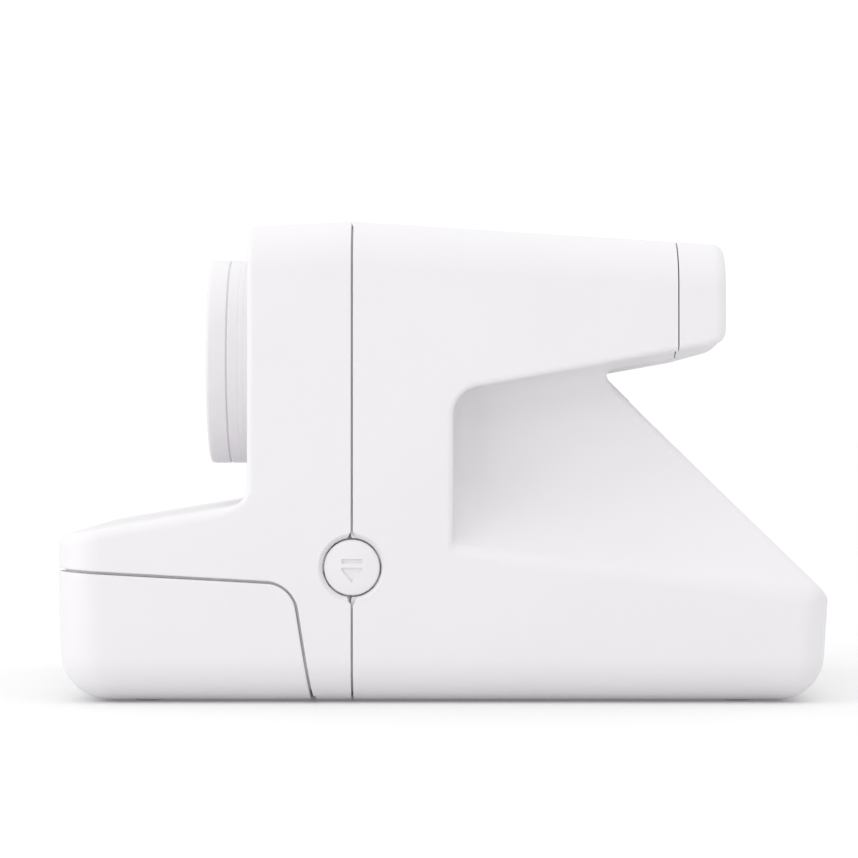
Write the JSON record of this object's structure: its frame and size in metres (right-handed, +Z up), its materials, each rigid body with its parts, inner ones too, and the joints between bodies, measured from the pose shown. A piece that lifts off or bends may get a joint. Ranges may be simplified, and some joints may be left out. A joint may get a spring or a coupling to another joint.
{
  "type": "instant camera",
  "caption": "Box-type instant camera with round lens barrel, sloping back, overhanging viewfinder hump, drop-down film door with spread rollers, and a side release button.",
  "frame": {"origin": "centre of the bounding box's bottom face, on the plane that the rubber feet stand on", "axes": "+Z up, -Y the way the lens looks, +X towards the side with the film door button; lengths run along Y, from the nose to the tail"},
  "size_m": [0.1122, 0.1502, 0.094],
  "materials": {
    "housing_white": "fine-grained moulded plastic, slightly cool white",
    "black_plastic": "matt black moulding",
    "red_button": "satin red cap",
    "steel": "turned and ground",
    "spring_steel": "drawn wire",
    "dark_steel": "blackened sheet",
    "brass": "turned",
    "acetal": "natural moulded gear plastic",
    "circuit_board": "solder-masked board with dark parts",
    "battery_wrap": "foil pouch",
    "capacitor_sleeve": "shrink sleeve",
    "coil_copper": "enamelled copper winding",
    "silver_reflector": "bright",
    "mirror_glass": "front-silvered",
    "clear_glass": "polished",
    "coated_glass": "coated lens",
    "smoked_window": "dark clear plastic",
    "display_orange": "segment display",
    "rubber_grey": "soft pad"
  },
  "bodies": {
    "camera_body": {"front_shell": "housing_white", "rear_shell": "housing_white", "rear_cap": "housing_white", "lens_barrel": "housing_white", "lens_ring": "housing_white", "lens_cone": "black_plastic", "front_lens": "coated_glass", "shutter_housing": "black_plastic", "shutter_solenoid": "coil_copper", "flash_window": "clear_glass", "flash_reflector": "silver_reflector", "flash_tube": "clear_glass", "flash_capacitor": "capacitor_sleeve", "viewfinder_window": "clear_glass", "viewfinder_tunnel": "black_plastic", "eyepiece_bezel": "black_plastic", "eyepiece_lens": "clear_glass", "sensor_window": "smoked_window", "shutter_button_spring": "spring_steel", "shutter_switch": "circuit_board", "counter_display": "display_orange", "display_window": "smoked_window", "control_board": "circuit_board", "main_board": "circuit_board", "battery": "battery_wrap", "usb_socket": "circuit_board", "film_chamber": "black_plastic", "dark_box": "black_plastic", "main_mirror": "mirror_glass", "pick_spring": "spring_steel", "drive_motor": "steel", "gear_plate": "dark_steel", "hinge_pin": "steel", "latch_spring": "spring_steel", "case_screws": "steel", "rear_feet": "rubber_grey"},
    "film_door": {"film_door": "housing_white", "door_feet": "rubber_grey", "door_frame": "black_plastic", "roller_bushes": "brass", "roller_springs": "spring_steel", "film_shield": "black_plastic"},
    "lower_roller": {"lower_roller": "steel", "roller_gear": "acetal"},
    "roller_carriage": {"upper_bearings": "acetal"},
    "upper_roller": {"upper_roller": "steel"},
    "transfer_gear": {"transfer_gear": "acetal"},
    "reduction_gear": {"reduction_gear": "acetal"},
    "motor_pinion": {"motor_pinion": "brass"},
    "door_button": {"door_button": "housing_white"},
    "latch_slide": {"latch_slide": "dark_steel"},
    "shutter_button": {"shutter_button": "red_button"},
    "power_button": {"power_button": "housing_white"},
    "flash_button": {"flash_button": "housing_white"},
    "timer_button": {"timer_button": "housing_white"},
    "film_pick": {"film_pick": "steel"},
    "solenoid_plunger": {"solenoid_plunger": "steel"},
    "shutter_blade_upper": {"shutter_blade_upper": "dark_steel"},
    "shutter_blade_lower": {"shutter_blade_lower": "dark_steel"},
    "focus_disc": {"focus_disc": "clear_glass"}
  },
  "joints": [
    {"name": "film_door_hinge", "type": "hinge", "parent": "camera_body", "child": "film_door", "pos_m": [0, -0.0264, 0.0019], "axis": [1, 0, 0], "range_deg": [0, 82]},
    {"name": "lower_roller_spin", "type": "hinge", "parent": "film_door", "child": "lower_roller", "pos_m": [0, -0.043, 0.01595], "axis": [1, 0, 0], "continuous": true},
    {"name": "roller_carriage_lift", "type": "slide", "parent": "film_door", "child": "roller_carriage", "axis": [0, 0, 1], "range_m": [0, 0.0004], "stiffness_N_per_m": 3000, "springref_m": -0.001, "deforming": ["roller_springs"]},
    {"name": "upper_roller_spin", "type": "hinge", "parent": "roller_carriage", "child": "upper_roller", "pos_m": [0, -0.043, 0.02445], "axis": [1, 0, 0], "continuous": true},
    {"name": "transfer_gear_spin", "type": "hinge", "parent": "camera_body", "child": "transfer_gear", "pos_m": [-0.0512, -0.03374, 0.02698], "axis": [1, 0, 0], "continuous": true},
    {"name": "reduction_gear_spin", "type": "hinge", "parent": "camera_body", "child": "reduction_gear", "pos_m": [-0.0498, -0.02394, 0.03521], "axis": [1, 0, 0], "continuous": true},
    {"name": "motor_pinion_spin", "type": "hinge", "parent": "camera_body", "child": "motor_pinion", "pos_m": [-0.0485, -0.01929, 0.04799], "axis": [1, 0, 0], "continuous": true},
    {"name": "door_button_press", "type": "slide", "parent": "camera_body", "child": "door_button", "axis": [-1, 0, 0], "range_m": [0, 0.002], "stiffness_N_per_m": 300, "springref_m": -0.0005},
    {"name": "latch_slide_release", "type": "slide", "parent": "camera_body", "child": "latch_slide", "axis": [-1, 0, 0], "range_m": [0, 0.002], "stiffness_N_per_m": 300, "springref_m": -0.0005, "deforming": ["latch_spring"]},
    {"name": "shutter_button_press", "type": "slide", "parent": "camera_body", "child": "shutter_button", "axis": [0, 1, 0], "range_m": [0, 0.0015], "stiffness_N_per_m": 500, "springref_m": -0.0003, "deforming": ["shutter_button_spring"]},
    {"name": "power_button_press", "type": "slide", "parent": "camera_body", "child": "power_button", "axis": [0, -1, 0], "range_m": [0, 0.0007], "stiffness_N_per_m": 500, "springref_m": -0.0002},
    {"name": "flash_button_press", "type": "slide", "parent": "camera_body", "child": "flash_button", "axis": [0, -1, 0], "range_m": [0, 0.0007], "stiffness_N_per_m": 500, "springref_m": -0.0002},
    {"name": "timer_button_press", "type": "slide", "parent": "camera_body", "child": "timer_button", "axis": [0, -1, 0], "range_m": [0, 0.0007], "stiffness_N_per_m": 500, "springref_m": -0.0002},
    {"name": "film_pick_stroke", "type": "slide", "parent": "camera_body", "child": "film_pick", "axis": [0, -1, 0], "range_m": [0, 0.01], "stiffness_N_per_m": 30, "springref_m": -0.001, "deforming": ["pick_spring"]},
    {"name": "shutter_blade_upper_swing", "type": "hinge", "parent": "camera_body", "child": "shutter_blade_upper", "pos_m": [0, -0.0303, 0.0535], "axis": [0, 1, 0], "range_deg": [0, 38], "stiffness_Nm_per_rad": 0.0005, "springref_deg": -5.73},
    {"name": "shutter_blade_lower_swing", "type": "hinge", "parent": "camera_body", "child": "shutter_blade_lower", "pos_m": [0, -0.0296, 0.0535], "axis": [0, 1, 0], "range_deg": [-38, 0]},
    {"name": "solenoid_plunger_stroke", "type": "slide", "parent": "camera_body", "child": "solenoid_plunger", "axis": [1, 0, 0], "range_m": [0, 0.003]},
    {"name": "focus_disc_turn", "type": "hinge", "parent": "camera_body", "child": "focus_disc", "pos_m": [-0.011, -0.027, 0.0645], "axis": [0, 1, 0], "range_deg": [0, 60]}
  ],
  "couplings": [
    {"joint": "transfer_gear_spin", "follows": "lower_roller_spin", "ratio": -0.63636},
    {"joint": "reduction_gear_spin", "follows": "lower_roller_spin", "ratio": 1.4},
    {"joint": "motor_pinion_spin", "follows": "lower_roller_spin", "ratio": -3.36},
    {"joint": "latch_slide_release", "follows": "door_button_press", "ratio": 1},
    {"joint": "shutter_blade_lower_swing", "follows": "shutter_blade_upper_swing", "ratio": -1},
    {"joint": "solenoid_plunger_stroke", "follows": "shutter_blade_upper_swing", "m_per_rad": 0.0045}
  ]
}
